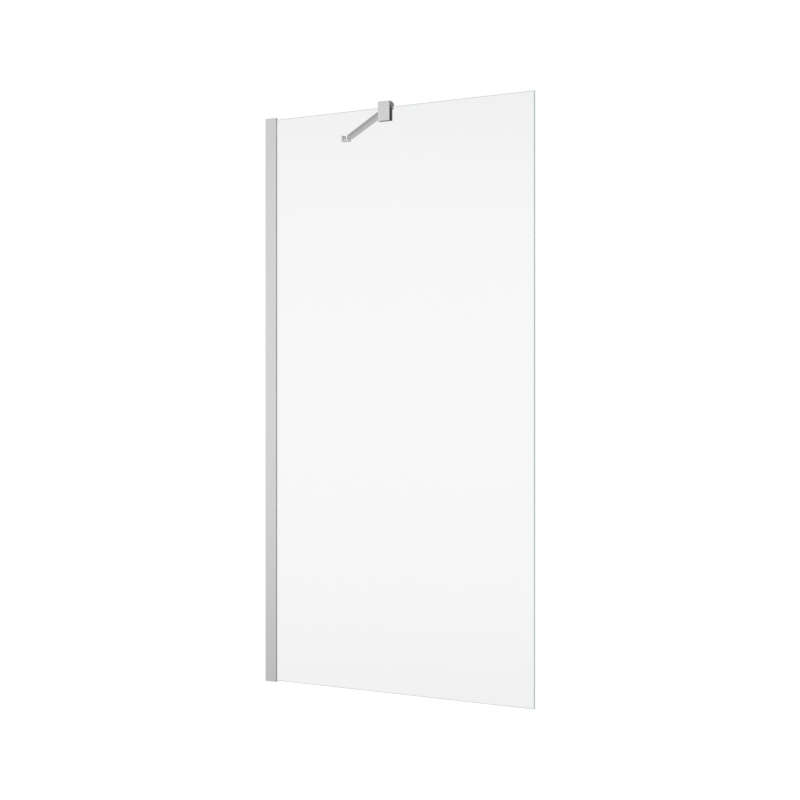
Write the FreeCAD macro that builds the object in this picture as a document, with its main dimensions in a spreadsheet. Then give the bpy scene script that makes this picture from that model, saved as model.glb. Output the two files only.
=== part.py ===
import FreeCAD, Part
import math
import os
import Sketcher

# A fixed bath screen: one pane of 6 mm glass held in a wall channel, and steadied by a flat bar that
# runs at 45 degrees from a clamp on the pane's top edge to a small bracket on the wall.
# Millimetres. X = 0 is the wall and +X runs along the pane to its free edge. Y = 0 is the middle of
# the glass, with the bar on the +Y side over the bath. Z = 0 is the bath rim under the wall channel.

doc = FreeCAD.newDocument("bath_screen")
sheet = doc.addObject("Spreadsheet::Sheet", "sizes")
V = FreeCAD.Vector


# ---------------------------------------------------------------- sizes

class Size:
    """A length or angle: its value, and the expression over the sheet that gives it."""

    def __init__(self, text, value):
        self.text = text
        self.value = value

    @staticmethod
    def of(other):
        return other if isinstance(other, Size) else Size(repr(other), other)

    def __add__(self, other):
        other = Size.of(other)
        return Size(f"({self.text} + {other.text})", self.value + other.value)

    def __radd__(self, other):
        return Size.of(other) + self

    def __sub__(self, other):
        other = Size.of(other)
        return Size(f"({self.text} - {other.text})", self.value - other.value)

    def __rsub__(self, other):
        return Size.of(other) - self

    def __mul__(self, other):
        other = Size.of(other)
        return Size(f"({self.text} * {other.text})", self.value * other.value)

    __rmul__ = __mul__

    def __truediv__(self, other):
        other = Size.of(other)
        return Size(f"({self.text} / {other.text})", self.value / other.value)

    def __neg__(self):
        return Size(f"(-1 * {self.text})", -self.value)


def cosine(angle):
    return Size(f"cos({angle.text})", math.cos(math.radians(angle.value)))


def tangent(angle):
    return Size(f"tan({angle.text})", math.tan(math.radians(angle.value)))


rows = []


def size(alias, value, note):
    """Write one driving size in the sheet and return it."""
    rows.append(alias)
    row = len(rows)
    sheet.set(f"A{row}", alias)
    sheet.set(f"B{row}", str(value))
    sheet.setAlias(f"B{row}", alias)
    sheet.set(f"C{row}", note)
    return Size(f"sizes.{alias}", float(value))


# the screen as a whole
screen_height = size("screen_height", 1400, "bath rim to the top of the cap")
glass_reach = size("glass_reach", 733, "wall to the free edge, at the middle of the adjustment")
glass_thick = size("glass_thick", 6, "toughened glass")
glass_drop = size("glass_drop", 4, "top of the cap down to the glass")
glass_foot = size("glass_foot", 2.2, "bath rim up to the glass")
glass_arris = size("glass_arris", 0.6, "polished bevel on the glass edges")
travel = size("travel", 5, "in and out adjustment each way")

# the wall channel
wall_deep = size("wall_deep", 32, "front flange, out from the wall")
rear_deep = size("rear_deep", 25.6, "rear flange, which is shorter")
wall_wide = size("wall_wide", 16, "channel, across")
web_thick = size("web_thick", 2.4, "web against the wall")
flange_thick = size("flange_thick", 1.6, "front and rear flange")
lip_thick = size("lip_thick", 1.6, "turned-in lip that keeps a seal in")
lip_gap = size("lip_gap", 0.35, "lip to the glass")
corner_round = size("corner_round", 0.8, "outer corners of the channel")
screw_hole_r = size("screw_hole_r", 2.25, "wall screw hole")
screw_sink_r = size("screw_sink_r", 4.2, "its countersink")
screw_sink_deep = size("screw_sink_deep", 1.9, "depth of the countersink")
screw_end = size("screw_end", 60, "channel end to the first wall screw")
key_deep = size("key_deep", 0.7, "sealant groove in the back of the web")
key_wide = size("key_wide", 2.4, "the same groove across")
key_from_mid = size("key_from_mid", 5.2, "middle of the web to the groove")

# the seals at its mouth, the cap on its top and the block under the glass
seal_deep = size("seal_deep", 3.0, "seal behind its lip")
seal_notch = size("seal_notch", 0.9, "notches in the seal's face on the glass")
cap_thick = size("cap_thick", 2.5, "top cap")
cap_leg_long = size("cap_leg_long", 12, "legs that hold the cap")
cap_leg_slack = size("cap_leg_slack", 0.1, "legs to the flange")
cap_leg_thick = size("cap_leg_thick", 2.4, "each leg")
cap_leg_end = size("cap_leg_end", 0.4, "leg to the web and to the seal")
block_slack = size("block_slack", 0.3, "setting block to the flanges")
block_end = size("block_end", 0.6, "setting block to the web and to the seal")

# the inner channel on the glass edge
inner_deep = size("inner_deep", 8, "inner channel along X")
inner_wall = size("inner_wall", 1.3, "its wall")
inner_play = size("inner_play", 0.3, "inner channel to the flange of the wall channel")
inner_front_gap = size("inner_front_gap", 0.3, "inner channel to the rear seal, drawn right out")
inner_top_gap = size("inner_top_gap", 2, "inner channel to the cap's legs")
gasket_web = size("gasket_web", 0.7, "gasket behind the glass edge")

# what locks the inner channel
lock_end = size("lock_end", 150, "channel end to the first lock screw")
lock_shank_r = size("lock_shank_r", 2.0, "M4")
lock_slot_play = size("lock_slot_play", 0.2, "shank in its slot")
lock_head_r = size("lock_head_r", 3.8, "pan head")
lock_head_high = size("lock_head_high", 2.4, "pan head")
lock_washer_r = size("lock_washer_r", 5.0, "washer over the slot")
lock_washer_thick = size("lock_washer_thick", 0.8, "washer")
lock_bite_slack = size("lock_bite_slack", 0.02, "thread in the inner channel")
lid_r = size("lid_r", 8.0, "cover cap, reaching past the slot")
lid_wall = size("lid_wall", 1.2, "cover cap")
lid_lift = size("lid_lift", 0.15, "cover cap off the channel")
lid_grip = size("lid_grip", 0.05, "cover cap round the washer")
lid_room = size("lid_room", 0.6, "cover cap over the screw's head")
lid_slope = size("lid_slope", 1.8, "its sloped rim")

# the glass clamp
clamp_from_wall = size("clamp_from_wall", 341.4, "wall to the middle of the clamp")
clamp_wide = size("clamp_wide", 31.5, "front plate and bridge")
clamp_drop = size("clamp_drop", 32.4, "front plate below the glass top")
clamp_rise = size("clamp_rise", 14.6, "front plate above the glass top")
clamp_front = size("clamp_front", 4.0, "front plate")
clamp_back = size("clamp_back", 3.2, "rear wall with the screws")
clamp_back_wide = size("clamp_back_wide", 20, "rear wall below the bridge")
clamp_back_drop = size("clamp_back_drop", 26, "rear wall below the glass top")
clamp_lip = size("clamp_lip", 4, "full width part of the rear wall below the glass top")
clamp_saddle = size("clamp_saddle", 3.4, "bridge over the glass")
clamp_round = size("clamp_round", 8, "top rear edge")
clamp_edge = size("clamp_edge", 1.8, "rounding of the front plate")
front_pad_thick = size("front_pad_thick", 1.0, "front pad")
rear_pad_thick = size("rear_pad_thick", 1.5, "rear pad")
pad_inset = size("pad_inset", 0.6, "front pad inside the plate's outline")
jaw_thick = size("jaw_thick", 6.0, "jaw that the screws press on")
jaw_gap = size("jaw_gap", 0.3, "jaw to the rear wall and to the bridge")
jaw_short = size("jaw_short", 0.5, "jaw above the plate's lower edge")
jaw_round = size("jaw_round", 2.5, "lower rear edge of the jaw")
jaw_seat = size("jaw_seat", 1.0, "seats for the screw tips")
jaw_seat_play = size("jaw_seat_play", 0.3, "tip in its seat")
press_screw_r = size("press_screw_r", 2.5, "M5 set screw")
press_screw_first = size("press_screw_first", 9.5, "glass top down to the upper set screw")
press_screw_step = size("press_screw_step", 10, "to the lower one")
press_key_flat = size("press_key_flat", 2.5, "hexagon across flats")
press_key_deep = size("press_key_deep", 2.2, "hexagon socket")
press_bevel = size("press_bevel", 0.6, "bevel of the tip")
press_sunk = size("press_sunk", 0.5, "screw below the rear wall's face")
press_slack = size("press_slack", 0.02, "threads")

# both swivels
lug_base = size("lug_base", 0.8, "underside of the lugs from the glass top")
lug_thick = size("lug_thick", 5.2, "lugs")
clamp_lug_wide = size("clamp_lug_wide", 9.4, "lug of the clamp")
clamp_pivot_out = size("clamp_pivot_out", 33.6, "glass middle to the pivot")
pivot_r = size("pivot_r", 2.5, "shoulder of the pivot screw")
pivot_play = size("pivot_play", 0.05, "eye on the shoulder")
pivot_thread_r = size("pivot_thread_r", 2.0, "thread in the lug")
pivot_thread_slack = size("pivot_thread_slack", 0.02, "thread")
pivot_head_r = size("pivot_head_r", 4.2, "head")
pivot_head_high = size("pivot_head_high", 2.6, "head")
pivot_head_bevel = size("pivot_head_bevel", 0.5, "head")
pivot_key_flat = size("pivot_key_flat", 3.0, "hexagon across flats")
pivot_tip = size("pivot_tip", 0.5, "thread's end above the underside of the lug")
spacer_thick = size("spacer_thick", 0.8, "nylon washer under the eye")
spacer_r = size("spacer_r", 4.5, "nylon washer")
head_washer_thick = size("head_washer_thick", 0.5, "washer under the head")

# the bar and its two ends
arm_angle = size("arm_angle", 45, "bar to the glass")
bar_wide = size("bar_wide", 17, "flat tube")
bar_thick = size("bar_thick", 10, "flat tube")
bar_wall = size("bar_wall", 1.2, "flat tube")
bar_round = size("bar_round", 1.6, "its outer corners")
eye_wide = size("eye_wide", 9.4, "tongue and eye")
eye_thick = size("eye_thick", 6.4, "tongue and eye")
tongue_long = size("tongue_long", 16, "pivot to the collar")
collar_thick = size("collar_thick", 2.0, "collar that closes the tube")
plug_long = size("plug_long", 22, "plug in the tube")
plug_slack = size("plug_slack", 0.1, "plug in the tube")
grub_r = size("grub_r", 2.0, "set screw in the bar")
grub_in = size("grub_in", 11, "tube end to the set screw")
grub_key_flat = size("grub_key_flat", 2.0, "hexagon across flats")
grub_key_deep = size("grub_key_deep", 1.4, "hexagon socket")
grub_seat_deep = size("grub_seat_deep", 1.0, "seat in the plug")
grub_seat_play = size("grub_seat_play", 0.2, "screw in its seat")

# the wall bracket
plate_thick = size("plate_thick", 6.2, "plate on the wall")
plate_wide = size("plate_wide", 16, "plate")
plate_high = size("plate_high", 15.6, "plate")
plate_edge = size("plate_edge", 0.6, "bevel of the plate")
shelf_wide = size("shelf_wide", 13, "shelf that carries the end of the bar")
wall_pivot_out = size("wall_pivot_out", 20, "wall to the pivot")
bracket_hole_r = size("bracket_hole_r", 2.6, "wall screw")
bracket_sink_r = size("bracket_sink_r", 4.2, "its countersink")
bracket_sink_deep = size("bracket_sink_deep", 1.8, "depth of the countersink")

doc.recompute()

# heights and places that follow from them
half_glass = glass_thick / 2
glass_top = screen_height - glass_drop
channel_top = screen_height - cap_thick
flange_in = wall_wide / 2 - flange_thick
inner_out = flange_in - inner_play
lip_in = half_glass + lip_gap
front_seal_back = wall_deep - lip_thick - seal_deep
rear_seal_back = rear_deep - lip_thick - seal_deep
inner_front = rear_seal_back - travel - inner_front_gap
inner_back = inner_front - inner_deep
glass_edge = inner_back + inner_wall + gasket_web
inner_top = channel_top - cap_leg_long - inner_top_gap
lock_x = inner_back + inner_deep / 2
lug_top = lug_base + lug_thick
eye_base = lug_top + spacer_thick
eye_top = eye_base + eye_thick
bar_middle = eye_base + eye_thick / 2
plate_front_y = half_glass + front_pad_thick + clamp_front
jaw_back = half_glass + rear_pad_thick + jaw_thick
jaw_top = clamp_saddle - jaw_gap
rear_front = jaw_back + jaw_gap
rear_back = rear_front + clamp_back
arm_run = clamp_from_wall - wall_pivot_out
bracket_y = clamp_pivot_out + arm_run * tangent(arm_angle)
arm_long = arm_run / cosine(arm_angle)


# ---------------------------------------------------------------- ways of building

def bind(thing, **values):
    """Set properties of an object to sizes, each by its expression."""
    for name, value in values.items():
        thing.setExpression(name, Size.of(value).text)


def place(thing, x=0, y=0, z=0):
    """Put an object at a place that follows the sheet."""
    for axis, value in (("x", x), ("y", y), ("z", z)):
        thing.setExpression(f"Placement.Base.{axis}", Size.of(value).text)


def new_body(name):
    body = doc.addObject("PartDesign::Body", name)
    body.Label = name
    return body


def datum(body, role):
    return next(o for o in body.Origin.OriginFeatures if o.Role == role)


def new_sketch(body, name, role, offset=0, turn=0):
    """A sketch on one of the body's own planes, moved along the plane's normal and turned about it."""
    sketch = body.newObject("Sketcher::SketchObject", name)
    sketch.AttachmentSupport = [(datum(body, role), "")]
    sketch.MapMode = "FlatFace"
    sketch.AttachmentOffset = FreeCAD.Placement(V(0, 0, 0), FreeCAD.Rotation(V(0, 0, 1), turn))
    sketch.setExpression("AttachmentOffset.Base.z", Size.of(offset).text)
    return sketch


def fix_point(sketch, element, point, x, y):
    """Hold a point of a sketch at x, y from its origin."""
    for kind, value in (("DistanceX", x), ("DistanceY", y)):
        value = Size.of(value)
        number = sketch.addConstraint(Sketcher.Constraint(kind, -1, 1, element, point, value.value))
        sketch.setExpression(f"Constraints[{number}]", value.text)


def outline(sketch, points):
    """A closed outline of straight lines, with every corner held by the sheet."""
    points = [(Size.of(x), Size.of(y)) for x, y in points]
    first = sketch.GeometryCount
    count = len(points)
    for i, (x, y) in enumerate(points):
        x2, y2 = points[(i + 1) % count]
        sketch.addGeometry(Part.LineSegment(V(x.value, y.value, 0), V(x2.value, y2.value, 0)), False)
    for i in range(count):
        sketch.addConstraint(Sketcher.Constraint("Coincident", first + i, 2, first + (i + 1) % count, 1))
    for i, (x, y) in enumerate(points):
        fix_point(sketch, first + i, 1, x, y)


def rectangle(sketch, x0, x1, y0, y1):
    outline(sketch, [(x0, y0), (x1, y0), (x1, y1), (x0, y1)])


def circle(sketch, x, y, radius):
    """A full circle, with its centre and radius held by the sheet."""
    x, y, radius = Size.of(x), Size.of(y), Size.of(radius)
    shape = Part.Circle(V(x.value, y.value, 0), V(0, 0, 1), radius.value)
    number = sketch.addGeometry(shape, False)
    fix_point(sketch, number, 3, x, y)
    held = sketch.addConstraint(Sketcher.Constraint("Radius", number, radius.value))
    sketch.setExpression(f"Constraints[{held}]", radius.text)


def hexagon(sketch, x, y, flats):
    """A regular hexagon socket with two corners on the sketch's X direction."""
    radius = Size.of(flats) / math.sqrt(3)
    up = Size.of(flats) / 2
    outline(sketch, [(x + radius, y), (x + radius / 2, y + up), (x - radius / 2, y + up),
                     (x - radius, y), (x - radius / 2, y - up), (x + radius / 2, y - up)])


def rounded_run(sketch, x0, x1, y0, half, both=False):
    """A strip along the sketch's X direction, round at x1 and also at x0 where both is set."""
    x0, x1, y0, half = Size.of(x0), Size.of(x1), Size.of(y0), Size.of(half)
    sign = 1 if x1.value > x0.value else -1
    first = sketch.GeometryCount
    low = y0 - half * sign
    high = y0 + half * sign
    quarter = math.pi / 2
    sketch.addGeometry(Part.LineSegment(V(x0.value, low.value, 0), V(x1.value, low.value, 0)), False)
    turn = 0 if sign > 0 else math.pi
    ring = Part.Circle(V(x1.value, y0.value, 0), V(0, 0, 1), half.value)
    sketch.addGeometry(Part.ArcOfCircle(ring, turn - quarter, turn + quarter), False)
    sketch.addGeometry(Part.LineSegment(V(x1.value, high.value, 0), V(x0.value, high.value, 0)), False)
    if both:
        ring = Part.Circle(V(x0.value, y0.value, 0), V(0, 0, 1), half.value)
        sketch.addGeometry(Part.ArcOfCircle(ring, turn + quarter, turn + 3 * quarter), False)
    else:
        sketch.addGeometry(Part.LineSegment(V(x0.value, high.value, 0), V(x0.value, low.value, 0)), False)
    sketch.addConstraint(Sketcher.Constraint("Tangent", first, 2, first + 1, 1))
    sketch.addConstraint(Sketcher.Constraint("Tangent", first + 1, 2, first + 2, 1))
    if both:
        sketch.addConstraint(Sketcher.Constraint("Tangent", first + 2, 2, first + 3, 1))
        sketch.addConstraint(Sketcher.Constraint("Tangent", first + 3, 2, first, 1))
        fix_point(sketch, first + 3, 3, x0, y0)
    else:
        sketch.addConstraint(Sketcher.Constraint("Coincident", first + 2, 2, first + 3, 1))
        sketch.addConstraint(Sketcher.Constraint("Coincident", first + 3, 2, first, 1))
        fix_point(sketch, first, 1, x0, low)
        sketch.addConstraint(Sketcher.Constraint("Vertical", first + 3))
    fix_point(sketch, first + 1, 3, x1, y0)
    held = sketch.addConstraint(Sketcher.Constraint("Radius", first + 1, half.value))
    sketch.setExpression(f"Constraints[{held}]", half.text)


def pad(body, sketch, name, length, midplane=False, reverse=False):
    feature = body.newObject("PartDesign::Pad", name)
    feature.Profile = sketch
    feature.SideType = "Symmetric" if midplane else "One side"
    feature.Reversed = reverse
    bind(feature, Length=length)
    sketch.Visibility = False
    body.Tip = feature
    doc.recompute()
    return feature


def pocket(body, sketch, name, depth, reverse=False, midplane=False):
    """Cut a sketch into the body, and make sure that it took something away."""
    before = body.Shape.Volume
    feature = body.newObject("PartDesign::Pocket", name)
    feature.Profile = sketch
    feature.SideType = "Symmetric" if midplane else "One side"
    feature.Reversed = reverse
    bind(feature, Length=depth)
    sketch.Visibility = False
    body.Tip = feature
    doc.recompute()
    if body.Shape.Volume > before - 1e-6:
        raise RuntimeError(f"{name} cuts nothing from {body.Label}")
    return feature


def axis_line(sketch, x0, y0, x1, y1):
    """A construction line in a sketch, for a revolution to turn about."""
    ends = [(Size.of(x0), Size.of(y0)), (Size.of(x1), Size.of(y1))]
    (x0, y0), (x1, y1) = ends
    number = sketch.addGeometry(Part.LineSegment(V(x0.value, y0.value, 0), V(x1.value, y1.value, 0)), True)
    fix_point(sketch, number, 1, x0, y0)
    fix_point(sketch, number, 2, x1, y1)


def revolve(body, sketch, name, axis, cut=False):
    """Turn a sketch about its V_Axis, its H_Axis or its own Axis0, to add material or to cut it."""
    before = body.Shape.Volume if cut else 0
    feature = body.newObject("PartDesign::Groove" if cut else "PartDesign::Revolution", name)
    feature.Profile = sketch
    feature.ReferenceAxis = (sketch, [axis])
    feature.Angle = 360
    sketch.Visibility = False
    body.Tip = feature
    doc.recompute()
    if cut and body.Shape.Volume > before - 1e-6:
        raise RuntimeError(f"{name} cuts nothing from {body.Label}")
    return feature


def pattern(body, feature, name, role, length, count):
    """Repeat a feature along one of the body's axes."""
    row = body.newObject("PartDesign::LinearPattern", name)
    row.Originals = [feature]
    row.Direction = (datum(body, role), [""])
    row.Occurrences = count
    bind(row, Length=length)
    body.Tip = row
    doc.recompute()
    return row


def pick_edges(body, test, along):
    """Names of the edges whose two ends both pass a test, and that run along an axis if it is given."""
    found = []
    for number, edge in enumerate(body.Shape.Edges, 1):
        ends = [body.Placement.inverse().multVec(v.Point) for v in edge.Vertexes]
        if len(ends) != 2 or not all(test(p) for p in ends):
            continue
        run = (ends[1] - ends[0]).normalize()
        if along is None or abs(run * along) > 0.999:
            found.append(f"Edge{number}")
    if not found:
        raise RuntimeError(f"no edge of {body.Label} passes the test")
    return found


def soften(body, name, test, radius, bevel=False, along=None):
    """Round or bevel the edges of a body that pass a test."""
    names = pick_edges(body, test, along)
    tip = body.Tip
    feature = body.newObject("PartDesign::Chamfer" if bevel else "PartDesign::Fillet", name)
    feature.Base = (tip, names)
    if bevel:
        bind(feature, Size=radius)
    else:
        bind(feature, Radius=radius)
    body.Tip = feature
    doc.recompute()
    if "Invalid" in feature.State or not feature.Shape.isValid():
        raise RuntimeError(f"{name} fails on {body.Label}")
    return feature


def near(a, b):
    return abs(a - Size.of(b).value) < 1e-3


def plain_box(name, x0, x1, y0, y1, z0, z1):
    """A rectangular piece between six sizes."""
    box = doc.addObject("Part::Box", name)
    box.Label = name
    bind(box, Length=x1 - x0, Width=y1 - y0, Height=z1 - z0)
    place(box, x0, y0, z0)
    return box


# ---------------------------------------------------------------- wall channel

# An extruded channel, open towards the glass. The front flange is the longer one, and each flange
# turns in to a lip that keeps its seal. Two shallow grooves in the back take sealant.
wall_profile = new_body("wall_profile")
half = wall_wide / 2
section = new_sketch(wall_profile, "wall_section", "XY_Plane")


def flange(deep, side):
    """Outline of one flange, from the wall round its lip to the web."""
    points = [(0, half), (deep, half), (deep, lip_in), (deep - lip_thick, lip_in),
              (deep - lip_thick, flange_in), (web_thick, flange_in)]
    return [(x, y * side) for x, y in points]


back = []
for side in (1, -1):
    inner = key_from_mid * side - key_wide / 2
    outer = key_from_mid * side + key_wide / 2
    back += [(0, outer), (key_deep, outer), (key_deep, inner), (0, inner)]
outline(section, flange(wall_deep, -1) + flange(rear_deep, 1)[::-1] + back)
pad(wall_profile, section, "wall_length", channel_top)
soften(wall_profile, "wall_corners",
       lambda p: near(abs(p.y), half) and (near(p.x, 0) or p.x > rear_deep.value - 1), corner_round,
       along=V(0, 0, 1))

# four countersunk holes for the wall screws
web_hole = new_sketch(wall_profile, "web_hole_half", "XZ_Plane")
axis_line(web_hole, -1, screw_end, web_thick + 1, screw_end)
outline(web_hole, [(-1, screw_end), (web_thick + 1, screw_end),
                   (web_thick + 1, screw_end + screw_sink_r), (web_thick, screw_end + screw_sink_r),
                   (web_thick - screw_sink_deep, screw_end + screw_hole_r),
                   (-1, screw_end + screw_hole_r)])
first_hole = revolve(wall_profile, web_hole, "web_hole", "Axis0", cut=True)
pattern(wall_profile, first_hole, "web_holes", "Z_Axis", channel_top - screw_end * 2, 4)

# three slots in the rear flange, in which the lock screws move with the glass
slot_r = lock_shank_r + lock_slot_play
slot = new_sketch(wall_profile, "lock_slot_outline", "XZ_Plane", -flange_in + 0.5)
rounded_run(slot, lock_x - travel, lock_x + travel, lock_end, slot_r, both=True)
first_slot = pocket(wall_profile, slot, "lock_slot", flange_thick + 1)
lock_count = 3
lock_span = channel_top - lock_end * 2
pattern(wall_profile, first_slot, "lock_slots", "Z_Axis", lock_span, lock_count)


def mouth_seal(name, deep, side):
    """A soft seal between the flange and the glass, pushed in behind the lip and notched on the glass."""
    seal = new_body(name)
    sketch = new_sketch(seal, f"{name}_section", "XY_Plane")
    front = deep - lip_thick
    step = seal_deep / 8
    points = [(front - seal_deep, flange_in), (front, flange_in), (front, half_glass),
              (front - step, half_glass), (front - step * 2, half_glass + seal_notch),
              (front - step * 3, half_glass), (front - step * 5, half_glass),
              (front - step * 6, half_glass + seal_notch), (front - step * 7, half_glass),
              (front - seal_deep, half_glass)]
    outline(sketch, [(x, y * side) for x, y in points])
    pad(seal, sketch, f"{name}_length", channel_top)
    return seal


front_seal = mouth_seal("front_seal", wall_deep, -1)
rear_seal = mouth_seal("rear_seal", rear_deep, 1)

# a cap over the open top, stepped as the channel is, with two legs that go down beside the glass
top_cap = new_body("top_cap")
cap_face = new_sketch(top_cap, "cap_face", "XY_Plane", channel_top)
outline(cap_face, [(0, -half), (wall_deep, -half), (wall_deep, -lip_in), (rear_deep, -lip_in),
                   (rear_deep, half), (0, half)])
pad(top_cap, cap_face, "cap_plate", cap_thick)
leg_in = flange_in - cap_leg_slack - cap_leg_thick
leg_face = new_sketch(top_cap, "leg_face", "XY_Plane", channel_top)
for low, seal_back in ((leg_in, rear_seal_back), (-leg_in - cap_leg_thick, front_seal_back)):
    rectangle(leg_face, web_thick + cap_leg_end, seal_back - cap_leg_end, low, low + cap_leg_thick)
pad(top_cap, leg_face, "cap_legs", cap_leg_long, reverse=True)
soften(top_cap, "cap_top", lambda p: near(p.z, screen_height), corner_round)

# the block that the glass and its inner channel slide on
setting_block = plain_box("setting_block", web_thick + block_end, rear_seal_back - block_end,
                          block_slack - flange_in, flange_in - block_slack, Size.of(0), glass_foot)

# ---------------------------------------------------------------- glass and its inner channel

# the pane, with a polished bevel all round
glass_panel = new_body("glass_panel")
pane = new_sketch(glass_panel, "pane", "XZ_Plane")
rectangle(pane, glass_edge, glass_reach, glass_foot, glass_top)
pad(glass_panel, pane, "pane_thickness", glass_thick, midplane=True)
soften(glass_panel, "pane_arris", lambda p: near(abs(p.y), half_glass), glass_arris, bevel=True)

# an aluminium channel bonded to the glass edge through a soft gasket
glass_channel = new_body("glass_channel")
inner_section = new_sketch(glass_channel, "inner_section", "XY_Plane", glass_foot)
inner_in = inner_out - inner_wall
outline(inner_section, [(inner_back, -inner_out), (inner_front, -inner_out), (inner_front, -inner_in),
                        (inner_back + inner_wall, -inner_in), (inner_back + inner_wall, inner_in),
                        (inner_front, inner_in), (inner_front, inner_out), (inner_back, inner_out)])
pad(glass_channel, inner_section, "inner_length", inner_top - glass_foot)
thread = new_sketch(glass_channel, "lock_thread_circle", "XZ_Plane", -inner_in + 0.5)
circle(thread, lock_x, lock_end, lock_shank_r + lock_bite_slack)
first_thread = pocket(glass_channel, thread, "lock_thread", inner_wall + 1)
pattern(glass_channel, first_thread, "lock_threads", "Z_Axis", lock_span, lock_count)

glazing_gasket = new_body("glazing_gasket")
gasket_section = new_sketch(glazing_gasket, "gasket_section", "XY_Plane", glass_foot)
gasket_back = inner_back + inner_wall
outline(gasket_section, [(gasket_back, -inner_in), (inner_front, -inner_in), (inner_front, -half_glass),
                         (glass_edge, -half_glass), (glass_edge, half_glass), (inner_front, half_glass),
                         (inner_front, inner_in), (gasket_back, inner_in)])
pad(glazing_gasket, gasket_section, "gasket_length", inner_top - glass_foot)

# lock screws: their shanks pass through the slots into the inner channel and clamp it to the flange


def lock_row(name, points):
    """Three turned pieces in line at the lock screws; points are (distance from the flange, radius)."""
    piece = new_body(name)
    sketch = new_sketch(piece, f"{name}_half", "XY_Plane")
    axis_line(sketch, 0, half, 0, half + 1)
    outline(sketch, [(radius, half + out) for out, radius in points])
    turned = revolve(piece, sketch, f"{name}_turned", "Axis0")
    place(piece, lock_x, 0, lock_end)
    return piece, turned


washer_out = lock_washer_thick
head_out = washer_out + lock_head_high
shank_in = inner_in - half
locking_screws, screw_turned = lock_row("locking_screws", [
    (shank_in, 0), (head_out, 0), (head_out, lock_head_r), (washer_out, lock_head_r),
    (washer_out, lock_shank_r), (shank_in, lock_shank_r)])
socket = new_sketch(locking_screws, "lock_socket", "XZ_Plane", -half - head_out)
hexagon(socket, 0, 0, lock_head_r * 0.8)
lock_socket_cut = pocket(locking_screws, socket, "lock_socket_cut", lock_head_high / 2, reverse=True)
many = pattern(locking_screws, screw_turned, "locking_screw_row", "Z_Axis", lock_span, lock_count)
many.Originals = [screw_turned, lock_socket_cut]
locking_washers, washer_turned = lock_row("locking_washers", [
    (0, lock_shank_r + lock_slot_play), (washer_out, lock_shank_r + lock_slot_play),
    (washer_out, lock_washer_r), (0, lock_washer_r)])
pattern(locking_washers, washer_turned, "locking_washer_row", "Z_Axis", lock_span, lock_count)
lid_out = head_out + lid_room
lid_in = lock_washer_r + lid_grip
screw_caps, lid_turned = lock_row("screw_caps", [
    (lid_lift, lid_r), (lid_lift, lid_in), (lid_out, lid_in), (lid_out, 0),
    (lid_out + lid_wall, 0), (lid_out + lid_wall, lid_r - lid_slope), (lid_out, lid_r)])
pattern(screw_caps, lid_turned, "screw_cap_row", "Z_Axis", lock_span, lock_count)

# ---------------------------------------------------------------- glass clamp

# The clamp's own frame: X across it, Y through the glass, Z up from the glass top. The body is one
# casting: front plate, bridge, screwed rear wall, and the lug that carries the bar.
clamp_body = new_body("clamp_body")
hook = new_sketch(clamp_body, "hook_section", "YZ_Plane")
outline(hook, [(-plate_front_y, -clamp_drop), (clamp_front - plate_front_y, -clamp_drop),
               (clamp_front - plate_front_y, clamp_saddle), (rear_front, clamp_saddle),
               (rear_front, -clamp_lip), (rear_back, -clamp_lip), (rear_back, clamp_rise),
               (-plate_front_y, clamp_rise)])
pad(clamp_body, hook, "hook", clamp_wide, midplane=True)
soften(clamp_body, "hook_back", lambda p: near(p.y, rear_back) and near(p.z, clamp_rise), clamp_round)
soften(clamp_body, "hook_front", lambda p: near(p.y, -plate_front_y), clamp_edge)
wall_face = new_sketch(clamp_body, "rear_wall_face", "XZ_Plane", -rear_front)
rectangle(wall_face, -clamp_back_wide / 2, clamp_back_wide / 2, -clamp_back_drop, Size.of(0))
pad(clamp_body, wall_face, "rear_wall", clamp_back, reverse=True)
soften(clamp_body, "rear_wall_feet", lambda p: near(p.z, -clamp_back_drop), clamp_back / 2,
       along=V(0, 1, 0))
lug = new_sketch(clamp_body, "lug_outline", "XY_Plane", lug_base, turn=90)
rounded_run(lug, rear_front + clamp_back / 2, clamp_pivot_out, 0, clamp_lug_wide / 2)
pad(clamp_body, lug, "lug", lug_thick)
lug_hole = new_sketch(clamp_body, "lug_thread_circle", "XY_Plane", lug_base - 1)
circle(lug_hole, 0, clamp_pivot_out, pivot_thread_r + pivot_thread_slack)
pocket(clamp_body, lug_hole, "lug_thread", lug_thick + 2, reverse=True)
press_holes = new_sketch(clamp_body, "press_thread_circle", "XZ_Plane", -rear_front + 0.5)
circle(press_holes, 0, -press_screw_first, press_screw_r + press_slack)
press_thread = pocket(clamp_body, press_holes, "press_thread", clamp_back + 1)
press_count = 2
two = pattern(clamp_body, press_thread, "press_threads", "Z_Axis", press_screw_step, press_count)
two.Reversed = True
doc.recompute()
place(clamp_body, clamp_from_wall, 0, glass_top)

# a thin pad behind the front plate, and a thicker one on the jaw behind the glass
pad_side = clamp_wide / 2 - pad_inset
clamp_front_pad = plain_box("clamp_front_pad", clamp_from_wall - pad_side, clamp_from_wall + pad_side,
                            -half_glass - front_pad_thick, -half_glass,
                            glass_top - clamp_drop + pad_inset, glass_top + jaw_top)
jaw_base = jaw_short - clamp_drop
clamp_rear_pad = plain_box("clamp_rear_pad", clamp_from_wall - clamp_wide / 2,
                           clamp_from_wall + clamp_wide / 2, half_glass, half_glass + rear_pad_thick,
                           glass_top + jaw_base, glass_top + jaw_top)
clamp_jaw = new_body("clamp_jaw")
jaw_face = new_sketch(clamp_jaw, "jaw_face", "XZ_Plane", -half_glass - rear_pad_thick)
rectangle(jaw_face, -clamp_wide / 2, clamp_wide / 2, jaw_base, jaw_top)
pad(clamp_jaw, jaw_face, "jaw", jaw_thick, reverse=True)
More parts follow.
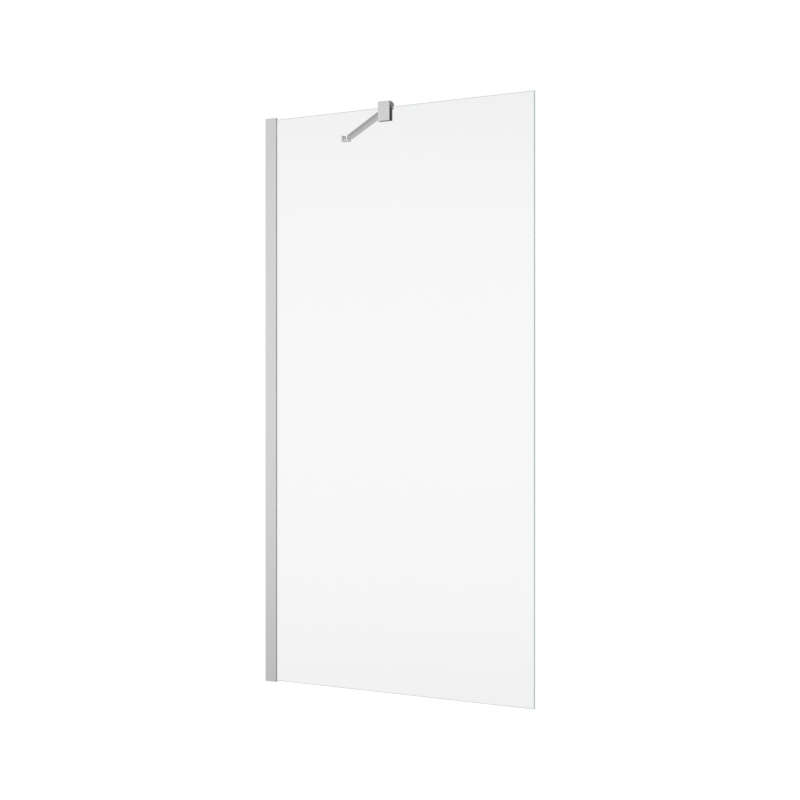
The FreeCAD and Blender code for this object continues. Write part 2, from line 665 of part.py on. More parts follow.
soften(clamp_jaw, "jaw_foot", lambda p: near(p.z, jaw_base) and near(p.y, jaw_back), jaw_round)
seats = new_sketch(clamp_jaw, "jaw_seat_circles", "XZ_Plane", -jaw_back)
for step in (Size.of(0), press_screw_step):
    circle(seats, 0, -press_screw_first - step, press_screw_r + jaw_seat_play)
pocket(clamp_jaw, seats, "jaw_seats", jaw_seat, reverse=True)
place(clamp_jaw, clamp_from_wall, 0, glass_top)

# the two set screws that push the jaw and its pad against the glass
clamp_screws = new_body("clamp_screws")
press_tip = jaw_back - jaw_seat
press_half = new_sketch(clamp_screws, "press_screw_half", "XY_Plane")
press_face = rear_back - press_sunk
outline(press_half, [(0, press_tip), (press_screw_r - press_bevel, press_tip),
                     (press_screw_r, press_tip + press_bevel), (press_screw_r, press_face), (0, press_face)])
press_turned = revolve(clamp_screws, press_half, "press_screw", "V_Axis")
press_key = new_sketch(clamp_screws, "press_key", "XZ_Plane", -press_face)
hexagon(press_key, 0, 0, press_key_flat)
press_key_cut = pocket(clamp_screws, press_key, "press_key_cut", press_key_deep, reverse=True)
both_screws = pattern(clamp_screws, press_turned, "press_screw_row", "Z_Axis", press_screw_step, press_count)
both_screws.Originals = [press_turned, press_key_cut]
both_screws.Reversed = True
place(clamp_screws, clamp_from_wall, 0, glass_top - press_screw_first)


def pivot_pieces(prefix, x, y):
    """Shoulder screw, washer under its head, and nylon spacer between the eye and the lug."""
    screw = new_body(f"{prefix}_pivot_screw")
    sketch = new_sketch(screw, f"{prefix}_pivot_half", "XZ_Plane")
    head_base = eye_top + head_washer_thick
    head_top = head_base + pivot_head_high
    outline(sketch, [(0, lug_base + pivot_tip), (pivot_thread_r, lug_base + pivot_tip),
                     (pivot_thread_r, lug_top), (pivot_r, lug_top), (pivot_r, head_base),
                     (pivot_head_r, head_base), (pivot_head_r, head_top - pivot_head_bevel),
                     (pivot_head_r - pivot_head_bevel, head_top), (0, head_top)])
    revolve(screw, sketch, f"{prefix}_pivot_turned", "V_Axis")
    key = new_sketch(screw, f"{prefix}_pivot_key", "XY_Plane", head_top)
    hexagon(key, 0, 0, pivot_key_flat)
    pocket(screw, key, f"{prefix}_pivot_key_cut", pivot_head_high * 0.7)
    place(screw, x, y, glass_top)
    for name, base, thick, radius in ((f"{prefix}_spacer", lug_top, spacer_thick, spacer_r),
                                      (f"{prefix}_head_washer", eye_top, head_washer_thick, pivot_head_r)):
        ring = new_body(name)
        face = new_sketch(ring, f"{name}_face", "XY_Plane", base)
        circle(face, 0, 0, radius)
        circle(face, 0, 0, pivot_r + pivot_play)
        pad(ring, face, f"{name}_pad", thick)
        place(ring, x, y, glass_top)


pivot_pieces("clamp", clamp_from_wall, clamp_pivot_out)
pivot_pieces("bracket", wall_pivot_out, bracket_y)

# ---------------------------------------------------------------- bar

# The bar's own frame: X along the bar from the clamp's pivot, Z up from the glass top.


def along_bar(thing, run=0):
    """Put a piece at a distance along the bar, turned to the bar's direction."""
    thing.Placement = FreeCAD.Placement(V(0, 0, 0), FreeCAD.Rotation(V(0, 0, 1), 1))
    thing.setExpression("Placement.Rotation.Angle", (180 - arm_angle).text)
    place(thing, clamp_from_wall - run * cosine(arm_angle),
          clamp_pivot_out + run * cosine(arm_angle) * tangent(arm_angle), glass_top)


tube_start = tongue_long + collar_thick
tube_end = arm_long - tube_start
arm_bar = new_body("arm_bar")
tube = new_sketch(arm_bar, "tube_section", "YZ_Plane", tube_start)
tube_base = bar_middle - bar_thick / 2
rectangle(tube, -bar_wide / 2, bar_wide / 2, tube_base, tube_base + bar_thick)
pad(arm_bar, tube, "tube", tube_end - tube_start)
soften(arm_bar, "tube_corners",
       lambda p: near(abs(p.y), bar_wide / 2) and (near(p.z, tube_base) or near(p.z, tube_base + bar_thick)),
       bar_round, along=V(1, 0, 0))
bore = new_sketch(arm_bar, "bore_section", "YZ_Plane", tube_start - 1)
rectangle(bore, bar_wall - bar_wide / 2, bar_wide / 2 - bar_wall,
          tube_base + bar_wall, tube_base + bar_thick - bar_wall)
pocket(arm_bar, bore, "bore", tube_end - tube_start + 2, reverse=True)
grub_holes = new_sketch(arm_bar, "grub_circles", "XY_Plane", tube_base + bar_thick + 0.5)
for run in (tube_start + grub_in, tube_end - grub_in):
    circle(grub_holes, run, 0, grub_r + press_slack)
pocket(arm_bar, grub_holes, "grub_threads", bar_wall + 1)
along_bar(arm_bar)


def bar_end(name):
    """Fitting for one end of the bar: eye and tongue, a collar over the tube's end, a plug inside it."""
    end = new_body(name)
    tongue = new_sketch(end, f"{name}_tongue", "XY_Plane", eye_base)
    rounded_run(tongue, tongue_long + collar_thick / 2, Size.of(0), 0, eye_wide / 2)
    pad(end, tongue, f"{name}_tongue_pad", eye_thick)
    collar = new_sketch(end, f"{name}_collar", "YZ_Plane", tongue_long)
    rectangle(collar, -bar_wide / 2, bar_wide / 2, tube_base, tube_base + bar_thick)
    pad(end, collar, f"{name}_collar_pad", collar_thick)
    soften(end, f"{name}_collar_corners",
           lambda p: near(abs(p.y), bar_wide / 2) and (near(p.z, tube_base)
                                                      or near(p.z, tube_base + bar_thick)),
           bar_round, along=V(1, 0, 0))
    plug = new_sketch(end, f"{name}_plug", "YZ_Plane", tube_start)
    side = bar_wide / 2 - bar_wall - plug_slack
    rise = bar_thick / 2 - bar_wall - plug_slack
    rectangle(plug, -side, side, bar_middle - rise, bar_middle + rise)
    pad(end, plug, f"{name}_plug_pad", plug_long)
    seat = new_sketch(end, f"{name}_grub_seat", "XY_Plane", bar_middle + rise)
    circle(seat, tube_start + grub_in, 0, grub_r + grub_seat_play)
    pocket(end, seat, f"{name}_grub_seat_cut", grub_seat_deep)
    eye = new_sketch(end, f"{name}_eye", "XY_Plane", eye_top + 1)
    circle(eye, 0, 0, pivot_r + pivot_play)
    pocket(end, eye, f"{name}_eye_cut", eye_thick + 2)
    return end


along_bar(bar_end("arm_end_clamp"))
arm_end_wall = bar_end("arm_end_wall")
arm_end_wall.Placement = FreeCAD.Placement(V(0, 0, 0), FreeCAD.Rotation(V(0, 0, -1), 1))
arm_end_wall.setExpression("Placement.Rotation.Angle", arm_angle.text)
place(arm_end_wall, wall_pivot_out, bracket_y, glass_top)

# the set screws that hold the bar on its two plugs
arm_set_screws = new_body("arm_set_screws")
grub = new_sketch(arm_set_screws, "grub_half", "XZ_Plane")
grub_tip = bar_middle + bar_thick / 2 - bar_wall - plug_slack - grub_seat_deep
axis_line(grub, tube_start + grub_in, 0, tube_start + grub_in, 1)
outline(grub, [(tube_start + grub_in, grub_tip), (tube_start + grub_in + grub_r, grub_tip),
               (tube_start + grub_in + grub_r, tube_base + bar_thick),
               (tube_start + grub_in, tube_base + bar_thick)])
grub_turned = revolve(arm_set_screws, grub, "grub", "Axis0")
grub_key = new_sketch(arm_set_screws, "grub_key", "XY_Plane", tube_base + bar_thick)
hexagon(grub_key, tube_start + grub_in, 0, grub_key_flat)
grub_key_cut = pocket(arm_set_screws, grub_key, "grub_key_cut", grub_key_deep)
grub_count = 2
grubs = pattern(arm_set_screws, grub_turned, "grub_row", "X_Axis",
                tube_end - tube_start - grub_in * 2, grub_count)
grubs.Originals = [grub_turned, grub_key_cut]
along_bar(arm_set_screws)

# ---------------------------------------------------------------- wall bracket

# a square plate with a countersunk screw hole, and a round-ended lug under the end of the bar
wall_bracket = new_body("wall_bracket")
plate = new_sketch(wall_bracket, "plate_face", "YZ_Plane")
rectangle(plate, -plate_wide / 2, plate_wide / 2, lug_base, lug_base + plate_high)
pad(wall_bracket, plate, "plate", plate_thick)
soften(wall_bracket, "plate_edges",
       lambda p: near(p.x, plate_thick) and p.z > lug_base.value - 1, plate_edge, bevel=True)
shelf = new_sketch(wall_bracket, "shelf_outline", "XY_Plane", lug_base)
rounded_run(shelf, plate_thick / 2, wall_pivot_out, 0, shelf_wide / 2)
pad(wall_bracket, shelf, "shelf", lug_thick)
shelf_hole = new_sketch(wall_bracket, "shelf_thread_circle", "XY_Plane", lug_base - 1)
circle(shelf_hole, wall_pivot_out, 0, pivot_thread_r + pivot_thread_slack)
pocket(wall_bracket, shelf_hole, "shelf_thread", lug_thick + 2, reverse=True)
bracket_hole_z = (lug_top + lug_base + plate_high) / 2
wall_hole = new_sketch(wall_bracket, "bracket_hole_half", "XZ_Plane")
axis_line(wall_hole, -1, bracket_hole_z, plate_thick + 1, bracket_hole_z)
outline(wall_hole, [(-1, bracket_hole_z), (plate_thick + 1, bracket_hole_z),
                    (plate_thick + 1, bracket_hole_z + bracket_sink_r),
                    (plate_thick, bracket_hole_z + bracket_sink_r),
                    (plate_thick - bracket_sink_deep, bracket_hole_z + bracket_hole_r),
                    (-1, bracket_hole_z + bracket_hole_r)])
revolve(wall_bracket, wall_hole, "bracket_hole", "Axis0", cut=True)
place(wall_bracket, 0, bracket_y, glass_top)

# ---------------------------------------------------------------- check and write

doc.recompute()
for thing in doc.Objects:
    if "Invalid" in thing.State or "Error" in thing.State:
        raise RuntimeError(f"{thing.Name} failed: {thing.State}")

counts = {"locking_screws": lock_count, "locking_washers": lock_count, "screw_caps": lock_count,
          "clamp_screws": press_count, "arm_set_screws": grub_count}
pieces = [o for o in doc.Objects if o.TypeId in ("PartDesign::Body", "Part::Box")]
os.makedirs("parts", exist_ok=True)
for piece in pieces:
    shape = piece.Shape
    if shape.isNull() or not shape.isValid():
        raise RuntimeError(f"{piece.Label} has no valid shape")
    if len(shape.Solids) != counts.get(piece.Label, 1):
        raise RuntimeError(f"{piece.Label} has {len(shape.Solids)} solids")
for piece in pieces:
    piece.Shape.exportStep(f"parts/{piece.Label}.step")
print(f"{len(pieces)} pieces")
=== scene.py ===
import math

import bmesh
import bpy
from mathutils import Matrix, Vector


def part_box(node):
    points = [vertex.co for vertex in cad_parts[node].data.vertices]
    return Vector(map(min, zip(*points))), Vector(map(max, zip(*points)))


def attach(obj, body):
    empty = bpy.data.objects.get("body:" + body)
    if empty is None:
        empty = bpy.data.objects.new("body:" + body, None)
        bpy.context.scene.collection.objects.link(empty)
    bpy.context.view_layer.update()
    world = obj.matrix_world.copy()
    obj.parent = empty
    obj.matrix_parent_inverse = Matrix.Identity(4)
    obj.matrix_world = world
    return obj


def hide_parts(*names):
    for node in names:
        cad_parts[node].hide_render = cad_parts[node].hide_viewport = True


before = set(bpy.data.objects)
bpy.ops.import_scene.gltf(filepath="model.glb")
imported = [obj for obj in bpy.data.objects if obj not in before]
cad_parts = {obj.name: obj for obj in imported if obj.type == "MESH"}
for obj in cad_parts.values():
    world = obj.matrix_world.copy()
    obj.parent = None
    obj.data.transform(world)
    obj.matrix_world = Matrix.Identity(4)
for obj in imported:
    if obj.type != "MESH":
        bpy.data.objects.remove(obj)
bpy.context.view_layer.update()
scene = bpy.context.scene

# ---- Wall channel and its cap ----------------------------------------------------
# The wall channel is an aluminium extrusion, cut to length and polished bright, and screwed
# to the tiles through its web. Fine lines from the die run up it. The cap on its top end is
# polished to match, and its two legs push down inside the flanges.


def finish(node, material):
    """Gives a CAD node a finish in place of its plain one."""
    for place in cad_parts[node].material_slots:
        place.material = material


def new_finish(name, **sockets):
    """A finish with its constant values on the shader's own sockets."""
    made = bpy.data.materials.new(name)
    made.use_nodes = True
    shader = made.node_tree.nodes["Principled BSDF"]
    for socket, value in sockets.items():
        shader.inputs[socket.replace("_", " ")].default_value = value
    return made


def new_effect(name, given, result):
    """A node group for a surface effect; given and result are pairs of (socket, kind)."""
    made = bpy.data.node_groups.new(name, "ShaderNodeTree")
    for socket, kind in given:
        made.interface.new_socket(name=socket, in_out="INPUT", socket_type=f"NodeSocket{kind}")
    for socket, kind in result:
        made.interface.new_socket(name=socket, in_out="OUTPUT", socket_type=f"NodeSocket{kind}")
    return made, made.nodes.new("NodeGroupInput"), made.nodes.new("NodeGroupOutput")


def lay(effect, material, low, high, depth, **values):
    """Lays an effect on a finish: colours from low to high, and a relief, its depth in metres."""
    nodes, links = material.node_tree.nodes, material.node_tree.links
    shader = nodes["Principled BSDF"]
    place = nodes.new("ShaderNodeTexCoord")
    skin = nodes.new("ShaderNodeGroup")
    skin.node_tree = effect
    for socket, value in values.items():
        skin.inputs[socket].default_value = value
    colour = nodes.new("ShaderNodeMix")
    colour.data_type = "RGBA"
    colour.inputs["A"].default_value = (*low, 1)
    colour.inputs["B"].default_value = (*high, 1)
    relief = nodes.new("ShaderNodeBump")
    relief.inputs["Distance"].default_value = depth
    links.new(place.outputs["Object"], skin.inputs["Place"])
    links.new(skin.outputs["Shade"], colour.inputs["Factor"])
    links.new(colour.outputs["Result"], shader.inputs["Base Color"])
    links.new(skin.outputs["Roughness"], shader.inputs["Roughness"])
    links.new(skin.outputs["Height"], relief.inputs["Height"])
    links.new(relief.outputs["Normal"], shader.inputs["Normal"])


metal_skin, given, result = new_effect(
    "metal_skin",
    [("Place", "Vector"), ("Lines", "Vector"), ("Wipes", "Float"), ("Smooth", "Float"),
     ("Rough", "Float")],
    [("Shade", "Float"), ("Roughness", "Float"), ("Height", "Float")])
nodes, links = metal_skin.nodes, metal_skin.links
drawn_out = nodes.new("ShaderNodeVectorMath")
drawn_out.operation = "MULTIPLY"
lines = nodes.new("ShaderNodeTexNoise")
lines.inputs["Scale"].default_value = 1.0
lines.inputs["Detail"].default_value = 3.0
wipes = nodes.new("ShaderNodeTexNoise")
wipes.inputs["Detail"].default_value = 4.0
wipes.inputs["Distortion"].default_value = 0.6
both = nodes.new("ShaderNodeMix")
both.inputs["Factor"].default_value = 0.5
shine = nodes.new("ShaderNodeMapRange")
shine.inputs["From Min"].default_value = 0.3
shine.inputs["From Max"].default_value = 0.7
links.new(given.outputs["Place"], drawn_out.inputs[0])
links.new(given.outputs["Lines"], drawn_out.inputs[1])
links.new(drawn_out.outputs["Vector"], lines.inputs["Vector"])
links.new(given.outputs["Place"], wipes.inputs["Vector"])
links.new(given.outputs["Wipes"], wipes.inputs["Scale"])
links.new(lines.outputs["Fac"], both.inputs["A"])
links.new(wipes.outputs["Fac"], both.inputs["B"])
links.new(both.outputs["Result"], shine.inputs["Value"])
links.new(given.outputs["Smooth"], shine.inputs["To Min"])
links.new(given.outputs["Rough"], shine.inputs["To Max"])
links.new(both.outputs["Result"], result.inputs["Shade"])
links.new(shine.outputs["Result"], result.inputs["Roughness"])
links.new(lines.outputs["Fac"], result.inputs["Height"])

bright_aluminium = new_finish("bright_aluminium", Metallic=1.0)
lay(metal_skin, bright_aluminium, (0.77, 0.772, 0.775), (0.86, 0.862, 0.865), 0.000004,
    Lines=(900, 900, 3), Wipes=16.0, Smooth=0.15, Rough=0.26)
for node in ("wall_profile", "top_cap"):
    finish(node, bright_aluminium)

# ---- Seals at the mouth of the channel -------------------------------------------
# A strip of black rubber sits behind the turned-in lip of each flange and bears on the
# glass. It is pushed in dry from the open end, and keeps the water on the bath's side.
moulded_skin, given, result = new_effect(
    "moulded_skin",
    [("Place", "Vector"), ("Grain", "Float"), ("Smooth", "Float"), ("Rough", "Float")],
    [("Shade", "Float"), ("Roughness", "Float"), ("Height", "Float")])
nodes, links = moulded_skin.nodes, moulded_skin.links
grain = nodes.new("ShaderNodeTexNoise")
grain.inputs["Detail"].default_value = 5.0
flow = nodes.new("ShaderNodeTexNoise")
flow.inputs["Scale"].default_value = 45.0
flow.inputs["Distortion"].default_value = 1.0
shade = nodes.new("ShaderNodeMix")
shade.inputs["Factor"].default_value = 0.6
sheen = nodes.new("ShaderNodeMapRange")
sheen.inputs["From Min"].default_value = 0.3
sheen.inputs["From Max"].default_value = 0.7
links.new(given.outputs["Place"], grain.inputs["Vector"])
links.new(given.outputs["Grain"], grain.inputs["Scale"])
links.new(given.outputs["Place"], flow.inputs["Vector"])
links.new(grain.outputs["Fac"], shade.inputs["A"])
links.new(flow.outputs["Fac"], shade.inputs["B"])
links.new(shade.outputs["Result"], sheen.inputs["Value"])
links.new(given.outputs["Smooth"], sheen.inputs["To Min"])
links.new(given.outputs["Rough"], sheen.inputs["To Max"])
links.new(shade.outputs["Result"], result.inputs["Shade"])
links.new(sheen.outputs["Result"], result.inputs["Roughness"])
links.new(grain.outputs["Fac"], result.inputs["Height"])

black_rubber = new_finish("black_rubber", IOR=1.52)
lay(moulded_skin, black_rubber, (0.008, 0.008, 0.009), (0.028, 0.028, 0.029), 0.00008,
    Grain=1100.0, Smooth=0.45, Rough=0.7)
for node in ("front_seal", "rear_seal"):
    finish(node, black_rubber)

# ---- Setting block ----------------------------------------------------------------
# A small block of black nylon lies in the foot of the channel. The pane and its inner
# channel stand on it, clear of the rim of the bath, and slide on it when they are adjusted.
black_nylon = new_finish("black_nylon", IOR=1.53)
lay(moulded_skin, black_nylon, (0.018, 0.018, 0.019), (0.04, 0.04, 0.042), 0.00003,
    Grain=2200.0, Smooth=0.3, Rough=0.46)
finish("setting_block", black_nylon)

# ---- Glass pane ---------------------------------------------------------------------
# The pane is 6 mm toughened float glass, faintly green, with ground and polished edges.
# The rollers of the furnace leave a very shallow wave across it. The edge faces are painted
# pale green: the glass's own green along its length, and painted glow for light along the pane.
low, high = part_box("glass_panel")
bm = bmesh.new()
bmesh.ops.create_cube(bm, size=1.0)
bmesh.ops.scale(bm, verts=bm.verts, vec=[h - l for l, h in zip(low, high)])
bmesh.ops.translate(bm, verts=bm.verts, vec=[(l + h) / 2 for l, h in zip(low, high)])
ground_wide = 0.0006
rims = [edge for edge in bm.edges if edge.verts[0].co.y * edge.verts[1].co.y > 0]
bmesh.ops.bevel(bm, geom=rims, offset=ground_wide, segments=2, profile=0.5, affect="EDGES",
                material=-1)
for face in bm.faces:
    face.material_index = 0 if abs(face.normal.y) > 0.99 else 1


def new_piece(name, bm, body, nodes, slot, *finishes):
    """Makes a piece from a finished shape; it rides on a body and stands for its CAD nodes."""
    bmesh.ops.remove_doubles(bm, verts=bm.verts, dist=1e-6)
    bmesh.ops.recalc_face_normals(bm, faces=bm.faces)
    mesh = bpy.data.meshes.new(name)
    bm.to_mesh(mesh)
    bm.free()
    for material in finishes:
        mesh.materials.append(material)
    piece = bpy.data.objects.new(name, mesh)
    scene.collection.objects.link(piece)
    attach(piece, body)
    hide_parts(*nodes)
    return piece


clear_glass = new_finish("clear_glass", Roughness=0.0, IOR=1.5, Transmission_Weight=1.0)
nodes, links = clear_glass.node_tree.nodes, clear_glass.node_tree.links
place = nodes.new("ShaderNodeTexCoord")
cast = nodes.new("ShaderNodeTexNoise")
cast.inputs["Scale"].default_value = 1.6
tint = nodes.new("ShaderNodeMix")
tint.data_type = "RGBA"
tint.inputs["A"].default_value = (0.953, 0.961, 0.959, 1)
tint.inputs["B"].default_value = (0.961, 0.967, 0.965, 1)
rollers = nodes.new("ShaderNodeTexWave")
rollers.bands_direction = "Z"
rollers.inputs["Scale"].default_value = 1.1
rollers.inputs["Distortion"].default_value = 0.8
wave = nodes.new("ShaderNodeBump")
wave.inputs["Distance"].default_value = 0.00006
links.new(place.outputs["Object"], cast.inputs["Vector"])
links.new(cast.outputs["Fac"], tint.inputs["Factor"])
links.new(tint.outputs["Result"], nodes["Principled BSDF"].inputs["Base Color"])
links.new(place.outputs["Object"], rollers.inputs["Vector"])
links.new(rollers.outputs["Fac"], wave.inputs["Height"])
links.new(wave.outputs["Normal"], nodes["Principled BSDF"].inputs["Normal"])

# Painted glow: the pale base colour of the edge faces stands for light carried along the pane, over
# the glass's own green.
green_edge_painted_glow = new_finish("green_edge_painted_glow", IOR=1.5, Transmission_Weight=0.3)
lay(moulded_skin, green_edge_painted_glow, (0.5, 0.62, 0.58), (0.6, 0.71, 0.67), 0.00001,
    Grain=700.0, Smooth=0.08, Rough=0.2)
pane = new_piece("pane", bm, "glass", ["glass_panel"], "clear_glass", clear_glass, green_edge_painted_glow)
pane.visible_shadow = False
pane.visible_diffuse = False

# ---- Inner channel and its gasket ---------------------------------------------------
# A small aluminium channel, as it comes from the die, is pressed over the wall edge of the
# pane through a soft gasket. It slides in and out in the wall channel to take up a wall
# that isn't upright.
plain_aluminium = new_finish("plain_aluminium", Metallic=1.0)
lay(metal_skin, plain_aluminium, (0.6, 0.6, 0.61), (0.74, 0.74, 0.75), 0.00001,
    Lines=(1400, 1400, 6), Wipes=40.0, Smooth=0.3, Rough=0.48)
finish("glass_channel", plain_aluminium)
finish("glazing_gasket", black_rubber)

# ---- Lock screws and their washers --------------------------------------------------
# Three stainless screws pass through slots in the rear flange and pull the inner channel
# against it. They are turned, with sockets in their heads, and sit on plain washers.
steel = new_finish("steel", Metallic=1.0)
lay(metal_skin, steel, (0.5, 0.5, 0.51), (0.64, 0.64, 0.65), 0.000006,
    Lines=(500, 500, 4200), Wipes=90.0, Smooth=0.2, Rough=0.36)
for node in ("locking_screws", "locking_washers"):
    finish(node, steel)

# ---- Covers of the lock screws -------------------------------------------------------
# A domed cover of chromium-plated plastic snaps over each lock screw and its washer.
# The dome is hollow, and its rim ends just clear of the flange.
chrome_plastic = new_finish("chrome_plastic", Metallic=1.0)
lay(metal_skin, chrome_plastic, (0.7, 0.705, 0.72), (0.78, 0.785, 0.8), 0.000003,
    Lines=(300, 300, 300), Wipes=120.0, Smooth=0.06, Rough=0.13)
cover_r, cover_high = 8.0, 5.0
half_section = [(0, 3.8), (5.05, 3.8), (5.05, 0.15), (7.75, 0.15), (cover_r, 0.4), (cover_r, 1.5),
                (7.85, 2.3), (7.45, 3.1), (6.8, 3.8), (5.9, 4.35), (4.7, 4.7), (3.0, 4.92),
                (1.5, 4.99), (0, cover_high)]
low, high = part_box("screw_caps")
middle = low[0] + cover_r / 1000
bm = bmesh.new()
for z in (low[2] + cover_r / 1000, (low[2] + high[2]) / 2, high[2] - cover_r / 1000):
    row = [bm.verts.new((middle + r / 1000, high[1] + (out - cover_high) / 1000, z))
           for r, out in half_section]
    line = [bm.edges.new(pair) for pair in zip(row, row[1:])]
    bmesh.ops.spin(bm, geom=row + line, cent=(middle, 0, z), axis=(0, 1, 0), angle=math.tau,
                   steps=48, use_merge=True)


def polish(piece, sharp=40):
    """Smooth shading that keeps flat faces flat, and edges sharper than an angle crisp."""
    piece.data.shade_smooth()
    piece.data.set_sharp_from_angle(angle=math.radians(sharp))
    even = piece.modifiers.new("even", "WEIGHTED_NORMAL")
    even.weight = 100
    even.keep_sharp = True


covers = new_piece("screw_covers", bm, "glass", ["screw_caps"], "chrome_plastic", chrome_plastic)
polish(covers)

# ---- Body of the glass clamp -----------------------------------------------------------
# One zinc casting hooks over the pane: a front plate, a bridge rounded at the back, a rear wall
# for the set screws, and the lug for the bar. It is polished and chromium plated, so its edges
# are rounded. The shape is drawn in millimetres, from the middle of the glass top under it.
chrome = new_finish("chrome", Metallic=1.0)
lay(metal_skin, chrome, (0.8, 0.805, 0.8), (0.86, 0.865, 0.86), 0.000002,
    Lines=(160, 160, 160), Wipes=55.0, Smooth=0.03, Rough=0.09)


def prism(bm, outline, end):
    """Fills an outline of points and extrudes it by a vector."""
    pull(bm, [bm.faces.new([bm.verts.new(point) for point in outline])], end)


def pull(bm, faces, way):
    """Extrudes faces of a shape by a vector, and clears what that leaves inside the shape."""
    made = bmesh.ops.extrude_face_region(bm, geom=faces)["geom"]
    bmesh.ops.translate(bm, verts=[v for v in made if isinstance(v, bmesh.types.BMVert)], vec=way)
    left = [face for face in faces if all(len(edge.link_faces) > 2 for edge in face.edges)]
    bmesh.ops.delete(bm, geom=left, context="FACES_ONLY")


def inside(points, low, high):
    return all(l - 0.01 <= c <= h + 0.01 for point in points for l, c, h in zip(low, point, high))


def faces_in(bm, low, high):
    """Faces that lie wholly between two corners of a box."""
    return [face for face in bm.faces if inside([v.co for v in face.verts], low, high)]


def score(bm, low, high, axis, *places):
    """Cuts the faces between two corners of a box at places along an axis."""
    for place in places:
        cut = faces_in(bm, low, high)
        cut += {part for face in cut for part in (*face.edges, *face.verts)}
        bmesh.ops.bisect_plane(bm, geom=cut, plane_co=[place if i == axis else 0 for i in range(3)],
                               plane_no=[1 if i == axis else 0 for i in range(3)])


def round_off(bm, low, high, axis, radius, steps):
    """Rounds the edges along an axis that lie between two corners of a box."""
    chosen = [edge for edge in bm.edges
              if inside([v.co for v in edge.verts], low, high)
              and abs((edge.verts[1].co - edge.verts[0].co).normalized()[axis]) > 0.99]
    bmesh.ops.bevel(bm, geom=chosen, offset=radius, segments=steps, profile=0.5, affect="EDGES",
                    material=-1)


def ease(bm, radius):
    """Gives every sharp edge the small radius that polishing leaves."""
    bmesh.ops.dissolve_limit(bm, angle_limit=0.01, verts=bm.verts, edges=bm.edges)
    sharp = [edge for edge in bm.edges if edge.is_manifold and edge.calc_face_angle() > 0.6]
    bmesh.ops.bevel(bm, geom=sharp, offset=radius, segments=2, profile=0.5, affect="EDGES",
                    material=-1)


def rod(bm, centre, axis, start, length, near_radius, far_radius=None):
    """A round bar for drilling, along an axis from its start."""
    made = bmesh.ops.create_cone(bm, cap_ends=True, segments=40, radius1=near_radius,
                                 radius2=near_radius if far_radius is None else far_radius,
                                 depth=length)["verts"]
    bmesh.ops.translate(bm, verts=made, vec=(0, 0, start + length / 2))
    turn = {0: ("Y", math.pi / 2), 1: ("X", -math.pi / 2), 2: ("Z", 0)}[axis]
    bmesh.ops.rotate(bm, verts=made, cent=(0, 0, 0), matrix=Matrix.Rotation(turn[1], 3, turn[0]))
    bmesh.ops.translate(bm, verts=made, vec=centre)


def drilled(bm, drill):
    """Takes one shape out of another and gives back what is left."""
    pair = []
    for shape in (bm, drill):
        bmesh.ops.recalc_face_normals(shape, faces=shape.faces)
        mesh = bpy.data.meshes.new("blank")
        shape.to_mesh(mesh)
        shape.free()
        pair.append(bpy.data.objects.new("blank", mesh))
        scene.collection.objects.link(pair[-1])
    cut = pair[0].modifiers.new("cut", "BOOLEAN")
    cut.operation = "DIFFERENCE"
    cut.solver = "EXACT"
    cut.object = pair[1]
    left = bmesh.new()
    left.from_object(pair[0], bpy.context.evaluated_depsgraph_get())
    for blank in pair:
        bpy.data.meshes.remove(blank.data)
    return left


def set_down(bm, turn, place):
    """Turns a shape drawn in millimetres about the upright, and puts it at its place in metres."""
    bmesh.ops.scale(bm, verts=bm.verts, vec=(0.001, 0.001, 0.001))
    bmesh.ops.rotate(bm, verts=bm.verts, cent=(0, 0, 0),
                     matrix=Matrix.Rotation(math.radians(turn), 3, "Z"))
    bmesh.ops.translate(bm, verts=bm.verts, vec=place)


low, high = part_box("clamp_body")
glass_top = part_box("glass_panel")[1][2]
clamp_middle = (low[0] + high[0]) / 2
half, front, top = 15.75, -8, 14.6
plate_in, plate_foot, bridge_under = -4, -32.4, 3.4
wall_in, wall_out, wall_foot = 10.8, 14, -4
tail_half, tail_deep = 10, 22
lug_half, lug_low, lug_high, lug_long = 4.7, 0.8, 6.0, 24.3
lug_end, pivot_out = wall_out + lug_long, 33.6
thin_thread, thick_thread = 2.02, 2.52
bm = bmesh.new()
prism(bm, [(-half, y, z) for y, z in (
    (front, plate_foot), (plate_in, plate_foot), (plate_in, bridge_under),
    (wall_in, bridge_under), (wall_in, wall_foot), (wall_out, wall_foot), (wall_out, top),
    (front, top))], (half * 2, 0, 0))
round_off(bm, (-half, wall_out, top), (half, wall_out, top), 0, 8, 14)
front_rim = [edge for edge in bm.edges if all(abs(v.co.y - front) < 0.01 for v in edge.verts)]
bmesh.ops.bevel(bm, geom=front_rim, offset=1.8, segments=6, profile=0.5, affect="EDGES",
                material=-1)
score(bm, (-half, wall_in, wall_foot), (half, wall_out, wall_foot), 0, -tail_half, tail_half)
score(bm, (-half, wall_out, wall_foot), (half, wall_out, top), 0, -lug_half, lug_half)
score(bm, (-lug_half, wall_out, wall_foot), (lug_half, wall_out, top), 2, lug_low, lug_high)
pull(bm, faces_in(bm, (-tail_half, wall_in, wall_foot), (tail_half, wall_out, wall_foot)),
     (0, 0, -tail_deep))
pull(bm, faces_in(bm, (-lug_half, wall_out, lug_low), (lug_half, wall_out, lug_high)),
     (0, lug_long, 0))
for side in (-1, 1):
    tail_side, tail_end, lug_side = tail_half * side, wall_foot - tail_deep, lug_half * side
    round_off(bm, (tail_side, wall_in, tail_end), (tail_side, wall_out, tail_end), 1, 1.6, 5)
    round_off(bm, (lug_side, lug_end, lug_low), (lug_side, lug_end, lug_high), 2, 4.68, 14)
ease(bm, 0.3)
drill = bmesh.new()
for height in (-9.5, -19.5):
    rod(drill, (0, 0, height), 1, 10, 5, thick_thread)
rod(drill, (0, pivot_out, 0), 2, 0, 7, thin_thread)
bm = drilled(bm, drill)
set_down(bm, 0, (clamp_middle, 0, glass_top))
polish(new_piece("glass_clamp", bm, "glass", ["clamp_body"], "chrome", chrome))

